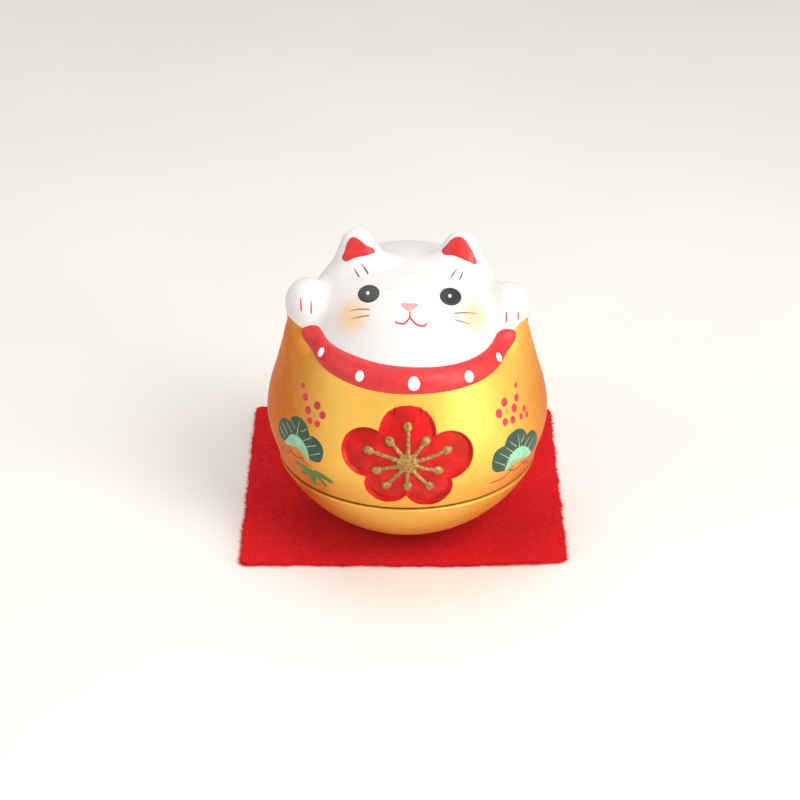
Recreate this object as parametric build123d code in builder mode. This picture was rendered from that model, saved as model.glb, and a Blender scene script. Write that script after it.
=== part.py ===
"""Self-righting lucky-cat daruma doll on its felt mat.

Millimetres, +Z up. The origin is on the underside of the mat, directly below the doll's own axis.
The doll faces -Y, and its right paw is on the -X side.
"""

from build123d import *

import math
import os

# Driving sizes of the doll
body_diameter = 70.0
equator_height = 34.5
crown_height = 73.8
shell_wall = 3.0

# Silhouette stations above the equator: (share of the body radius, share of the way up to the crown)
egg_stations = [(0.932, 0.267), (0.85, 0.50), (0.726, 0.654), (0.64, 0.80), (0.563, 0.88), (0.457, 0.929)]

# Weighted base, whose underside is part of one sphere, so that it rolls
rocker_radius = 36.0
bowl_wall = 3.2
seam_height = 21.7
seam_bond_thickness = 0.4
seam_groove_depth = 0.7
shell_setback = 0.25
rim_round = 0.4
lip_height = 3.0
lip_thickness = 2.4
lip_depth_in_bowl = 4.0
lip_clearance = 0.3

# Ballast
slug_radius = 17.0
slug_heel_radius = 9.0
slug_height = 9.5
slug_heel_height = 4.2
slug_bed_thickness = 2.0

# Ears
ear_base_radius = 8.6
ear_tip_radius = 4.0
ear_length = 15.5
ear_flattening = 0.62
ear_root_x = 11.2
ear_root_y = -1.5
ear_rise_above_crown = 7.7
ear_lean = 6.0

# Raised front paws
paw_half_width = 5.4
paw_half_depth = 6.2
paw_half_height = 6.2
paw_drop_below_crown = 9.8
paw_stand_off = 1.7
paw_forward_angle = 16.0

# Collar
collar_proud = 1.2

# Collar's middle line seen from the side, from the throat back to the paws:
# (share of the body radius in front of the axis, drop below the crown, width)
collar_line = [(1.04, 20.2, 4.2), (0.87, 19.1, 4.2), (0.71, 17.8, 3.7), (0.55, 15.7, 3.0), (0.40, 13.7, 2.6)]

# Plum-blossom emblem
emblem_rise_above_seam = 14.3
emblem_squash = 0.87
petal_count = 5
petal_radius = 6.9
petal_ring_radius = 9.0
emblem_depth = 1.1
relief_height = 0.8
stamen_count = 10
stamen_ring_radius = 9.4
stamen_width = 1.0
anther_radius = 1.15
pistil_radius = 2.4

# Felt mat
mat_side = 82.0
mat_thickness = 1.0
mat_corner_radius = 2.5
mat_offset_x = -1.0
mat_offset_y = 17.5
rocking_clearance = 0.2

# Sizes that follow
body_radius = body_diameter / 2
rocker_centre_height = mat_thickness + rocking_clearance + rocker_radius
ear_tip_height = crown_height + ear_rise_above_crown
paw_height = crown_height - paw_drop_below_crown
emblem_height = seam_height + emblem_rise_above_seam
bowl_rim_height = seam_height - seam_bond_thickness / 2
shell_rim_height = seam_height + seam_bond_thickness / 2


def rocker_radius_at(height):
    """Radius of the base's sphere at a height above the mat's underside."""
    drop = rocker_centre_height - height
    return math.sqrt(rocker_radius**2 - drop**2)


shell_rim_radius = rocker_radius_at(bowl_rim_height) - shell_setback
cavity_rim_radius = shell_rim_radius - shell_wall


def egg(inset):
    """The solid of revolution of the body and head, drawn in by inset from the outer skin."""
    radius = body_radius - inset
    rise = crown_height - inset - equator_height
    skin = [(shell_rim_radius - inset, shell_rim_height), (radius, equator_height)]
    skin += [(radius * share, equator_height + rise * climb) for share, climb in egg_stations]
    brow_radius, brow_height = skin[-1]
    crown = (0, equator_height + rise)
    cap_slope = 2 * math.atan2(crown[1] - brow_height, brow_radius)
    with BuildPart() as turned:
        with BuildSketch(Plane.XZ):
            with BuildLine():
                flank = Spline(*skin, tangents=[(0.28, 1), (-math.cos(cap_slope), math.sin(cap_slope))])
                cap = TangentArc(flank @ 1, crown, tangent=flank % 1)
                Polyline(cap @ 1, (0, shell_rim_height), flank @ 0)
            make_face()
        revolve(axis=Axis.Z)
    return turned.part


def skin_radius(height):
    """Radius of the outer skin above the equator, between its stations."""
    climb = (height - equator_height) / (crown_height - equator_height)
    stations = [(1.0, 0.0)] + egg_stations
    for (wide, low), (narrow, high) in zip(stations, stations[1:]):
        if climb <= high:
            return body_radius * (wide + (narrow - wide) * (climb - low) / (high - low))
    return body_radius * stations[-1][0]


def skin_layer(inner_inset, outer_inset):
    """The layer of the body between two depths below the outer skin."""
    with BuildPart() as layer:
        add(egg(outer_inset))
        add(egg(inner_inset), mode=Mode.SUBTRACT)
    return layer.part


def emblem_ring(radius, count):
    """Evenly turned points on the emblem's ring, the first straight up."""
    turns = [math.pi / 2 + 2 * math.pi * step / count for step in range(count)]
    return [(radius * math.cos(turn), radius * emblem_squash * math.sin(turn)) for turn in turns]


front_plane = Plane(origin=(0, 0, emblem_height), x_dir=(1, 0, 0), z_dir=(0, -1, 0))

# Collar: a raised band round the throat, from paw to paw, highest at its ends
with BuildPart() as collar:
    add(skin_layer(shell_wall / 2, -collar_proud))
    with BuildSketch(Plane.YZ):
        with BuildLine():
            middle = [(-share * body_radius, crown_height - drop) for share, drop, _ in collar_line]
            halves = [width / 2 for _, _, width in collar_line]
            low = Spline([(y, z - half) for (y, z), half in zip(middle, halves)])
            high = Spline([(y, z + half) for (y, z), half in zip(middle, halves)])
            Line(low @ 0, high @ 0)
            Line(low @ 1, high @ 1)
        make_face()
    extrude(amount=body_diameter, both=True, mode=Mode.INTERSECT)

# Emblem: five round petals, sunk into the front
with BuildSketch(front_plane) as petals:
    with Locations(*emblem_ring(petal_ring_radius, petal_count)):
        Ellipse(petal_radius, petal_radius * emblem_squash)
    Ellipse(petal_ring_radius, petal_ring_radius * emblem_squash)

# Stamens: a pistil, thin filaments and a round anther at each tip
with BuildSketch(front_plane) as stamens:
    Circle(pistil_radius)
    for across, up in emblem_ring(stamen_ring_radius, stamen_count):
        lean = math.degrees(math.atan2(up, across))
        with Locations(Location((across / 2, up / 2, 0), (0, 0, lean))):
            Rectangle(math.hypot(across, up), stamen_width)
        with Locations((across, up)):
            Circle(anther_radius)


def sunk(outline, depth):
    """The skin in front of an outline drawn on the front plane, to a depth that follows the body."""
    with BuildPart() as pocket:
        add(skin_layer(depth, -collar_proud))
        with BuildSketch(front_plane):
            add(outline)
        extrude(amount=body_diameter, mode=Mode.INTERSECT)
    return pocket.part


# One ear, standing on its root
with BuildPart() as ear:
    with BuildSketch(Plane.XZ):
        with BuildLine():
            tip_centre = ear_length - ear_tip_radius
            flank = math.atan2(ear_base_radius - ear_tip_radius, tip_centre)
            shoulder = (ear_tip_radius * math.cos(flank), tip_centre + ear_tip_radius * math.sin(flank))
            Polyline((0, ear_length), (0, 0), (ear_base_radius, 0), shoulder)
            ThreePointArc(
                shoulder,
                (ear_tip_radius * math.sin(math.pi / 4), tip_centre + ear_tip_radius * math.cos(math.pi / 4)),
                (0, ear_length),
            )
        make_face()
    revolve(axis=Axis.Z)
    scale(by=(1, ear_flattening, 1))

# One paw, standing a little off the cheek
paw_distance = skin_radius(paw_height) + paw_stand_off
paw_centre_x = paw_distance * math.cos(math.radians(paw_forward_angle))
paw_centre_y = -paw_distance * math.sin(math.radians(paw_forward_angle))
with BuildPart() as paw:
    Sphere(1)
    scale(by=(paw_half_width, paw_half_depth, paw_half_height))

# Body shell: one hollow casting with its ears, paws, collar and emblem
with BuildPart() as body_shell:
    add(egg(0))
    for side in (-1, 1):
        root = Location((side * ear_root_x, ear_root_y, ear_tip_height - ear_length))
        add(ear.part.moved(root * Location((0, 0, 0), (0, side * ear_lean, 0))))
        add(paw.part.moved(Location((side * paw_centre_x, paw_centre_y, paw_height))))
    add(collar.part)
    add(sunk(petals.sketch_local, emblem_depth - relief_height), mode=Mode.SUBTRACT)
    add(sunk(petals.sketch_local - stamens.sketch_local, emblem_depth), mode=Mode.SUBTRACT)
    add(egg(shell_wall), mode=Mode.SUBTRACT)
body_shell.part.label = "body_shell"

# Base bowl: the weighted lower cap, with a lip that centres the shell
with BuildPart() as base_bowl:
    with Locations((0, 0, rocker_centre_height)):
        Sphere(rocker_radius)
    with BuildSketch(Plane.XY.offset(bowl_rim_height)):
        Circle(2 * rocker_radius)
    extrude(amount=3 * rocker_radius, mode=Mode.SUBTRACT)
    fillet(base_bowl.edges().filter_by(GeomType.CIRCLE).sort_by(Axis.Z)[-1], rim_round)
    with Locations((0, 0, rocker_centre_height)):
        Sphere(rocker_radius - bowl_wall, mode=Mode.SUBTRACT)
    with BuildSketch(Plane.XY.offset(bowl_rim_height - lip_depth_in_bowl)):
        Circle(cavity_rim_radius - lip_clearance)
        Circle(cavity_rim_radius - lip_clearance - lip_thickness, mode=Mode.SUBTRACT)
    extrude(amount=lip_depth_in_bowl + lip_height)
base_bowl.part.label = "base_bowl"

# Seam bond: the line of adhesive between the two rims, set back in the groove
with BuildPart() as seam_bond:
    with BuildSketch(Plane.XY.offset(bowl_rim_height)):
        Circle(shell_rim_radius - seam_groove_depth)
        Circle(cavity_rim_radius, mode=Mode.SUBTRACT)
    extrude(amount=seam_bond_thickness)
seam_bond.part.label = "seam_bond"

# Ballast slug: a cast-iron weight with a tapered heel
slug_foot_height = mat_thickness + rocking_clearance + bowl_wall + slug_bed_thickness
ballast_top_height = slug_foot_height + slug_height
with BuildPart() as ballast_slug:
    with BuildSketch(Plane.XZ):
        with BuildLine():
            Polyline(
                (0, slug_foot_height),
                (slug_heel_radius, slug_foot_height),
                (slug_radius, slug_foot_height + slug_heel_height),
                (slug_radius, ballast_top_height),
                (0, ballast_top_height),
                close=True,
            )
        make_face()
    revolve(axis=Axis.Z)
ballast_slug.part.label = "ballast_slug"

# Ballast plaster: cast level round the slug in the bottom of the bowl
with BuildPart() as ballast_plaster:
    with Locations((0, 0, rocker_centre_height)):
        Sphere(rocker_radius - bowl_wall)
    with BuildSketch(Plane.XY.offset(ballast_top_height)):
        Circle(2 * rocker_radius)
    extrude(amount=3 * rocker_radius, mode=Mode.SUBTRACT)
    add(ballast_slug.part, mode=Mode.SUBTRACT)
ballast_plaster.part.label = "ballast_plaster"

# Felt mat: the square sheet that the doll rocks on
with BuildPart() as felt_mat:
    with BuildSketch():
        with Locations((mat_offset_x, mat_offset_y)):
            RectangleRounded(mat_side, mat_side, mat_corner_radius)
    extrude(amount=mat_thickness)
felt_mat.part.label = "felt_mat"

os.makedirs("parts", exist_ok=True)
for piece in (body_shell, base_bowl, seam_bond, ballast_slug, ballast_plaster, felt_mat):
    export_step(piece.part, f"parts/{piece.part.label}.step")
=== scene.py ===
"""Painted finish of a self-righting lucky-cat daruma doll and its felt mat.

Metres, +Z up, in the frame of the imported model: the doll's own axis is the Z axis and it faces -Y.
Painted details are modelled flat on a bench, in millimetres across and up, and then laid on the figure.
"""

import math

import bpy
import numpy as np
from mathutils import Matrix, Vector
from mathutils.bvhtree import BVHTree


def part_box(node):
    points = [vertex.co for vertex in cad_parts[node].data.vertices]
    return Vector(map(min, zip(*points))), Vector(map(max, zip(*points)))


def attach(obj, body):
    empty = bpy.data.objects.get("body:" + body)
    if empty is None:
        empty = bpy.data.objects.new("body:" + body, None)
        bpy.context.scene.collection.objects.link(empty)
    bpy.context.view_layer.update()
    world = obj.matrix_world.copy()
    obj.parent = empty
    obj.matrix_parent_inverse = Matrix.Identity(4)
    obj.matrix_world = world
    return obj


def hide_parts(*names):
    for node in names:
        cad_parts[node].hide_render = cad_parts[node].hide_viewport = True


bl_info = {
    "name": "Lucky Cat Daruma Doll",
    "version": (1, 0, 0),
    "blender": (4, 5, 0),
    "location": "3D View > Sidebar > Doll",
    "description": "Builds the painted finish of a self-righting lucky-cat doll and its felt mat",
    "category": "Object",
}

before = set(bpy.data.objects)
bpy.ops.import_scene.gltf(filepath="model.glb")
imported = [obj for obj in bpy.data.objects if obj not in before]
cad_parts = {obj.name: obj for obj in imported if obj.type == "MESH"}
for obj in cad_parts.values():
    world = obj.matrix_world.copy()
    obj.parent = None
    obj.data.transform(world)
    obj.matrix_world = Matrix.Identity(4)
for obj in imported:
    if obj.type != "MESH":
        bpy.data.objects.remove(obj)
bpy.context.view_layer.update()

MM = 0.001
MAT_LOW, MAT_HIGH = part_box("felt_mat")

# Half the doll's outline, from the seam up to the crown: radius and height in mm
SEAM_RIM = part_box("body_shell")[0].z / MM
RIM_EDGE = [(28.9, SEAM_RIM), (30.8, SEAM_RIM), (31.6, SEAM_RIM + 0.04), (31.98, SEAM_RIM + 0.2)]
EGG_SIDE = [(32.22, SEAM_RIM + 0.6), (33.1, 25.4), (34.5, 30.0), (35.0, 34.5), (34.15, 40.0), (32.62, 45.0)]
EGG_HEAD = [(31.3, 50.0), (29.6, 54.3), (25.5, 60.2), (22.4, 65.9), (19.7, 69.08), (16.0, 71.0), (9.0, 72.93),
            (0.0, 73.8)]
INSIDE = [(0.0, 70.6), (8.6, 69.8), (14.4, 68.3), (18.8, 65.0), (22.6, 59.0), (26.9, 53.0), (28.9, 48.0),
          (31.2, 40.0), (31.9, 34.5), (31.0, 28.6), (29.3, 24.0), (28.9, 23.0)]

# Points farther out than this are on the outer skin round the emblem, in mm
OUTER_SKIN = 31.0

# The ears and paws are drawn out from the heart. The skin above the neck's base moves, and its new place is
# searched for from LONGEST_REACH inwards. All in mm
HEART = np.array((0, 0, 45.0))
NECK_BASE = 44.0
SKIN_DEPTH = 1.2
LONGEST_REACH = 16.0
SEARCH_STEP = 0.3
SEARCH_STEPS = 56
HALVINGS = 12

# Ears: root, root radius, tip, tip radius, in mm, before they are flattened front to back
EARS = [((-11.2, 0.0, 66.0), 8.9, (-12.1, -0.3, 77.4), 4.1),
        ((11.7, 0.0, 65.6), 8.9, (12.8, -0.3, 76.7), 4.1)]
EAR_FLATNESS = 0.62
EAR_BLEND = 4.0

# Raised paws and the shoulders that carry them: middle and half sizes, in mm
PAWS = [((-24.3, -7.0, 65.0), (5.3, 6.0, 6.2)), ((24.2, -7.0, 63.9), (5.3, 6.0, 6.2))]
SHOULDERS = [((-24.4, -5.6, 56.0), (5.4, 8.0, 7.6)), ((24.2, -5.6, 55.4), (5.4, 8.0, 7.6))]
PAW_BLEND = 2.8
SHOULDER_BLEND = 4.0

# Emblem: a plum blossom of five round petals and a middle: across and up from EMBLEM_HEIGHT, and radius, in mm
EMBLEM_HEIGHT = 36.0
BLOSSOM = [(-0.1, 6.9, 7.0), (-9.6, 1.7, 6.4), (9.4, 0.9, 6.4), (-5.0, -6.6, 5.6), (4.9, -7.2, 6.0),
           (0.0, -1.0, 7.6)]
PISTIL_UP = -0.6

# Collar: turn from the front in degrees, height and width, in mm
COLLAR_LINE = [(-63.2, 61.0, 0.5), (-62.6, 60.8, 2.4), (-60.5, 60.3, 3.3), (-57, 59.3, 3.8), (-50, 57.9, 4.3),
               (-41, 56.9, 4.9), (-30, 56.2, 5.5), (-16, 55.4, 5.7), (0, 55.05, 5.6), (17, 54.9, 5.2),
               (31, 55.1, 5.0), (43, 55.9, 4.5), (52, 57.2, 4.0), (58, 58.5, 3.7), (61.5, 59.5, 3.2),
               (63.2, 60.0, 2.3), (63.8, 60.2, 0.5)]
COLLAR_TURN_RADIUS = 28.0

# Painted dots on the collar: turn, height and diameter
COLLAR_DOTS = [(-47.0, 57.8, 1.7), (-22.4, 55.7, 2.0), (2.7, 55.0, 2.6), (28.7, 55.0, 2.2), (48.4, 56.5, 1.7)]

# The face is drawn on a bench tipped back by FACE_PITCH, across and up from FACE_HEIGHT
FACE_PITCH = 28.0
FACE_HEIGHT = 66.0
EYES = [(-9.3, -2.4, 10.0), (10.2, -3.1, -8.0)]
EYE_SPARKS = [(-9.5, -2.3), (10.0, -3.0)]
BROWS = [
    [(-12.9, 3.9, 0.12), (-12.3, 2.9, 0.42), (-11.7, 1.9, 0.3)],
    [(-11.2, 5.1, 0.12), (-10.2, 3.9, 0.45), (-9.5, 2.6, 0.3)],
    [(11.9, 3.8, 0.12), (11.1, 2.9, 0.34), (10.5, 1.8, 0.25)],
    [(13.4, 3.1, 0.12), (12.9, 2.2, 0.34), (12.5, 1.2, 0.25)],
]
WHISKERS = [
    [(-13.8, -6.6, 0.1), (-11.6, -5.9, 0.4), (-9.1, -6.3, 0.3)],
    [(-13.5, -8.5, 0.1), (-11.3, -7.9, 0.38), (-9.1, -7.7, 0.28)],
    [(11.0, -7.2, 0.28), (13.6, -6.8, 0.38), (16.4, -7.1, 0.1)],
    [(11.2, -8.7, 0.28), (13.1, -9.1, 0.38), (15.1, -9.8, 0.1)],
]
NOSE = [(-1.6, -5.1), (-0.7, -4.8), (0.4, -4.9), (1.5, -4.8), (2.4, -5.2), (1.6, -6.1), (0.5, -6.7),
        (-0.7, -6.1)]
MOUTH = [
    [(0.5, -6.8, 0.3), (0.5, -7.7, 0.42), (0.5, -8.6, 0.42)],
    [(0.55, -8.1, 0.4), (-0.3, -9.5, 0.46), (-1.7, -9.9, 0.46), (-3.1, -9.2, 0.34)],
    [(0.45, -8.1, 0.4), (1.7, -9.8, 0.46), (3.1, -10.3, 0.46), (4.3, -10.1, 0.44), (4.4, -9.5, 0.36)],
]
BLUSHES = [(-13.2, -17.3, 66.6), (16.0, -15.8, 65.4)]
EAR_LININGS = [
    [(-15.6, 6.0), (-15.1, 8.5), (-14.4, 10.5), (-13.2, 11.5), (-12.0, 11.1), (-10.0, 9.6), (-7.9, 8.1),
     (-8.8, 7.5), (-12.5, 6.6)],
    [(8.3, 8.0), (9.5, 9.8), (10.9, 11.2), (12.4, 11.6), (13.6, 11.1), (15.1, 9.0), (16.4, 6.4), (16.6, 5.2),
     (14.9, 5.6), (11.4, 7.0)],
]
CLAWS = [
    [(-25.6, -3.3, 0.2), (-25.6, -4.8, 0.46), (-25.5, -6.4, 0.3)],
    [(-23.1, -4.0, 0.2), (-23.2, -5.5, 0.46), (-23.1, -7.0, 0.3)],
    [(23.7, -6.6, 0.2), (23.6, -7.8, 0.4), (23.8, -9.0, 0.26)],
    [(26.5, -6.4, 0.2), (26.6, -7.4, 0.4), (26.5, -8.5, 0.26)],
]

# The sprigs are drawn on two upright benches, turned to the left and right of the front
SPRIG_HEIGHT = 36.0
LEFT_TURN = -46.0
RIGHT_TURN = 47.0
LEFT_BLOSSOM = [(-3.7, 12.7, 0.72, 0.66), (-2.1, 10.5, 1.02, 0.94), (2.3, 9.9, 1.07, 1.05),
                (-0.3, 7.9, 1.0, 0.96), (4.4, 8.2, 1.0, 0.95), (1.0, 5.8, 0.9, 0.84), (3.5, 5.8, 0.88, 0.85)]
RIGHT_BLOSSOM = [(4.5, 12.3, 0.62, 0.66), (3.9, 9.4, 0.92, 0.92), (-0.7, 10.0, 1.08, 1.09),
                 (2.2, 7.5, 1.0, 1.05), (-3.1, 8.0, 1.06, 1.13), (0.9, 5.1, 0.9, 0.95),
                 (-1.8, 5.5, 0.92, 0.96), (5.9, 5.9, 0.8, 0.8), (4.1, 4.7, 0.76, 0.8), (6.6, 4.2, 0.7, 0.8)]
BLOSSOM_HEARTS = [(LEFT_TURN, 2.2, 7.5, 0.55, 0.63), (RIGHT_TURN, -0.4, 7.7, 0.62, 0.7)]
LEFT_FANS = [
    [(-7.6, -3.2), (-9.3, -3.1), (-10.6, -2.3), (-11.0, -0.8), (-10.8, 0.7), (-9.8, 2.0), (-8.5, 2.7),
     (-7.3, 2.9), (-6.0, 2.8), (-4.6, -0.6), (-5.6, -2.4)],
    [(-6.1, 2.6), (-5.6, 4.1), (-4.1, 5.0), (-2.9, 5.3), (-1.2, 5.1), (0.2, 4.4), (1.3, 3.1), (1.8, 1.9),
     (0.6, -0.8), (-2.6, -1.4), (-5.6, -0.4)],
    [(1.3, 1.9), (3.3, 2.4), (4.7, 1.9), (5.8, 1.0), (6.4, -0.3), (6.2, -2.0), (5.4, -3.5), (4.4, -4.0),
     (3.0, -4.2), (1.5, -3.9), (0.6, -2.2), (0.4, 0.3)],
]
LEFT_MOON = [(-7.5, -3.3), (-6.3, -1.5), (-5.4, -0.3), (-4.0, 0.5), (-2.3, 0.7), (-0.9, 0.4), (0.4, -0.3),
             (1.4, -1.4), (1.9, -2.9), (1.8, -4.1), (0.4, -3.4), (-1.3, -2.7), (-3.2, -2.6), (-5.2, -3.0)]
LEFT_VEINS = [
    [(-10.3, -0.2), (-7.3, -1.9)], [(-9.2, 1.2), (-6.3, -0.5)], [(-7.3, 2.3), (-4.6, 0.7)],
    [(-5.6, 3.6), (-3.5, 2.2)], [(-2.3, 4.7), (-2.5, 0.8)], [(-1.3, 2.1), (0.5, 3.4)],
    [(-0.1, 0.3), (2.3, 1.9)], [(0.4, -1.2), (4.2, 0.6)], [(2.1, -2.8), (5.4, -1.1)],
]
LEFT_TWIGS = [
    [(-12.2, -5.6, 0.26), (-10.9, -7.2, 0.47), (-8.2, -6.9, 0.55), (-5.8, -5.4, 0.47), (-4.6, -3.9, 0.31)],
    [(-8.9, -4.9, 0.26), (-9.6, -6.1, 0.44), (-11.0, -7.3, 0.34)],
    [(-6.1, -3.8, 0.26), (-5.6, -4.9, 0.44), (-4.1, -5.5, 0.55), (-2.1, -5.6, 0.57), (-0.3, -4.4, 0.34)],
    [(-1.7, -3.6, 0.26), (-1.6, -4.9, 0.47), (-0.3, -6.1, 0.52), (2.2, -6.0, 0.21)],
]
RIGHT_FANS = [
    [(9.4, -7.6), (11.2, -7.6), (12.0, -6.4), (11.6, -4.6), (10.4, -2.6), (9.0, -1.0), (7.5, -0.4),
     (6.2, -0.5), (5.3, -0.8), (4.6, -3.4), (7.0, -6.0)],
    [(5.5, -0.7), (4.5, 1.1), (3.2, 2.0), (1.7, 2.4), (-0.3, 2.2), (-1.9, 1.6), (-2.7, 0.6), (-3.1, -0.7),
     (-0.8, -3.4), (2.4, -4.0), (5.0, -3.6)],
    [(-2.6, -0.4), (-4.6, -0.2), (-6.1, -0.8), (-6.8, -2.2), (-6.9, -4.2), (-6.1, -6.0), (-4.7, -7.1),
     (-3.2, -7.5), (-1.6, -7.7), (-1.0, -5.6), (-1.4, -2.6)],
]
RIGHT_MOON = [(-1.7, -7.8), (-1.9, -5.6), (-1.3, -4.1), (0.1, -2.8), (1.7, -2.4), (3.9, -2.9), (6.0, -4.3),
              (7.8, -6.0), (9.0, -7.9), (6.8, -7.7), (4.3, -7.0), (2.3, -6.7), (0.4, -7.0), (-0.8, -7.5)]
RIGHT_VEINS = [
    [(1.8, 1.3), (2.2, -2.7)], [(-1.5, 0.5), (1.1, -1.9)], [(-2.7, -0.7), (-0.1, -3.0)],
    [(-4.6, -1.6), (-1.0, -4.5)], [(-6.2, -3.3), (-2.4, -5.9)], [(4.3, -0.1), (2.9, -1.4)],
    [(6.6, -1.5), (4.3, -3.1)], [(8.7, -2.9), (6.4, -4.6)],
]
RIGHT_TWIGS = [
    [(-5.9, -10.1, 0.21), (-3.2, -10.5, 0.47), (-1.3, -10.3, 0.55), (0.2, -9.5, 0.55), (0.8, -8.7, 0.44),
     (1.2, -7.6, 0.26)],
    [(-0.6, -7.8, 0.26), (1.4, -9.5, 0.52), (3.9, -9.9, 0.55), (5.8, -9.4, 0.39)],
    [(4.6, -8.0, 0.26), (5.8, -9.3, 0.44), (8.2, -10.4, 0.49), (10.6, -11.4, 0.26)],
    [(6.4, -8.6, 0.26), (8.8, -10.6, 0.39)],
]
BAMBOO = [
    [(-4.7, -7.7), (-2.6, -7.2), (-0.6, -7.0), (0.5, -7.4), (-0.9, -8.0), (-2.6, -8.3)],
    [(-3.0, -10.4), (-1.6, -8.7), (0.2, -7.7), (1.7, -7.3), (1.0, -8.6), (-0.8, -9.9)],
    [(1.0, -12.6), (0.3, -10.3), (0.6, -8.6), (1.6, -7.3), (2.6, -8.7), (2.2, -10.4)],
    [(5.4, -11.2), (3.6, -9.9), (2.5, -8.4), (2.2, -7.4), (3.4, -8.0), (4.6, -9.4)],
    [(8.0, -9.0), (5.8, -9.0), (3.8, -8.4), (2.6, -7.4), (4.4, -7.0), (6.4, -7.6)],
]

# Stamens of the emblem: turn from straight up in degrees, length
STAMENS = [(0, 9.6), (36, 7.3), (72, 9.8), (108, 7.6), (144, 8.9), (180, 7.0), (216, 8.6), (252, 7.6),
           (288, 9.8), (324, 7.3)]

# Line between white and gold: turn from the front in degrees and height in mm, within a span of heights
NECKLINE = [(-180, 59.0), (-120, 59.6), (-95, 61.0), (-84, 62.4), (-72, 62.6), (-67, 61.7), (-61, 60.4),
            (-41, 56.9), (0, 55.0), (43, 55.9), (61, 59.4), (65, 61.0), (70, 62.3), (82, 61.8), (95, 60.4),
            (120, 59.4), (180, 59.0)]
NECKLINE_LOW = 50
NECKLINE_SPAN = 20

# Pearl gold: where its orange, partly airbrush and partly painted shade, begins and ends beside the highlight,
# in mm, how metallic it is, and the colour that it mirrors at a grazing angle
HIGHLIGHT_SIDE = 3
FLANK_SHADE_SPAN = (19, 34)
PEARL_METAL = 0.45
GOLD_EDGE = (1.0, 0.62, 0.28)

# Loose fibres of the felt: how many stand on its face and on its rim, the rim's width, and the bare patch
# under the doll, in mm
FACE_FIBRES = 5200
RIM_FIBRES = 3600
RIM_WIDTH = 1.2
BARE_RADIUS = 9

# Camera, in mm and degrees, and lamps: name, place, width, power and tint
CAMERA_PLACE = (-1.84, -535.12, 320.44)
CAMERA_PITCH = 61.884
CAMERA_LENS = 109.04
LAMPS = [
    ("side", (0.50, -0.40, 0.16), 0.20, 2.0, (1.0, 0.97, 0.92)),
    ("key", (0.30, -0.34, 0.52), 0.30, 2.3, (1.0, 0.97, 0.92)),
    ("fill", (-0.50, -0.35, 0.38), 0.45, 1.1, (1.0, 0.97, 0.94)),
    ("top", (-0.05, 0.20, 0.65), 0.5, 1.6, (1.0, 0.98, 0.96)),
]
LAMP_TARGET = Vector((0, 0, 0.035))


# ---------------------------------------------------------------- sizes and colours


def size(name, description, default):
    """A length that a user may change, in metres."""
    return bpy.props.FloatProperty(
        name=name, description=description, default=default, unit="LENGTH", precision=5
    )


def colour(name, description, default):
    """A colour that a user may change."""
    return bpy.props.FloatVectorProperty(
        name=name, description=description, default=default, subtype="COLOR", size=3, min=0, max=1
    )


class DollSizes(bpy.types.PropertyGroup):
    """Sizes of the painted finish."""

    paint_rise: size("Paint rise", "How far a painted mark stands above the body", 0.10 * MM)
    collar_rise: size("Collar rise", "How far the collar stands above the throat", 1.15 * MM)
    pocket_depth: size("Emblem depth", "Depth of the emblem's floor below the body", 1.1 * MM)
    pocket_wall: size("Emblem wall", "Width of the emblem's sloping wall", 0.8 * MM)
    relief_rise: size("Relief rise", "Height of the stamens above the emblem's floor", 0.75 * MM)
    mat_wave: size("Mat wave", "How far the felt lifts from the table between its low places", 0.35 * MM)
    nap_length: size("Nap length", "Length of the loose fibres on the felt", 0.9 * MM)


class DollColours(bpy.types.PropertyGroup):
    """Colours of the painted finish."""

    bisque: colour("Bisque", "White clay of the head and paws", (0.735, 0.72, 0.72))
    blush: colour("Blush", "Airbrushed cheeks", (0.86, 0.43, 0.10))
    gold: colour("Gold", "Pearl gold of the body", (0.84, 0.50, 0.09))
    # The orange is airbrush and also painted shade on the flanks and near the foot
    orange: colour("Orange", "Airbrushed shade of the flanks and the base", (0.58, 0.13, 0.008))
    collar: colour("Collar", "Red of the collar", (0.62, 0.022, 0.026))
    emblem: colour("Emblem", "Glossy red of the emblem's floor", (0.60, 0.008, 0.014))
    relief: colour("Relief", "Dull brown gold of the stamens", (0.40, 0.22, 0.06))
    eye: colour("Eye", "Charcoal of the eyes and brows", (0.025, 0.03, 0.03))
    nose: colour("Nose", "Pink of the nose", (0.90, 0.33, 0.36))
    mouth: colour("Mouth", "Red of the mouth, the claws and the ears' lining", (0.60, 0.03, 0.05))
    whisker: colour("Whisker", "Grey brown of the whiskers", (0.24, 0.17, 0.13))
    blossom: colour("Blossom", "Crimson of the plum dots", (0.62, 0.03, 0.06))
    heart: colour("Blossom heart", "Olive gold in the middle of the plum dots", (0.42, 0.33, 0.10))
    pine: colour("Pine", "Dark green of the pine fans", (0.018, 0.075, 0.045))
    moon: colour("Pine base", "Mint green at the foot of the pine fans", (0.26, 0.62, 0.38))
    vein: colour("Vein", "Tan lines on the pine fans", (0.52, 0.42, 0.20))
    twig: colour("Twig", "Dark red of the twigs", (0.42, 0.03, 0.02))
    bamboo: colour("Bamboo", "Green of the bamboo leaves", (0.06, 0.20, 0.02))
    felt: colour("Felt", "Red of the felt", (0.66, 0.004, 0.008))
    backdrop: colour("Backdrop", "Pale floor", (0.86, 0.84, 0.81))


# ---------------------------------------------------------------- bench work


def clear_selection():
    """Leave nothing selected, so that the next operator acts only on the new piece."""
    if bpy.context.object and bpy.context.object.mode != "OBJECT":
        bpy.ops.object.mode_set(mode="OBJECT")
    bpy.ops.object.select_all(action="DESELECT")


def name_piece(name):
    """Name the piece that the last operator added, and return it."""
    piece = bpy.context.object
    piece.name = name
    piece.data.name = name
    return piece


def pick(piece):
    """Make one piece the only selected and active one."""
    clear_selection()
    piece.select_set(True)
    bpy.context.view_layer.objects.active = piece


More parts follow.
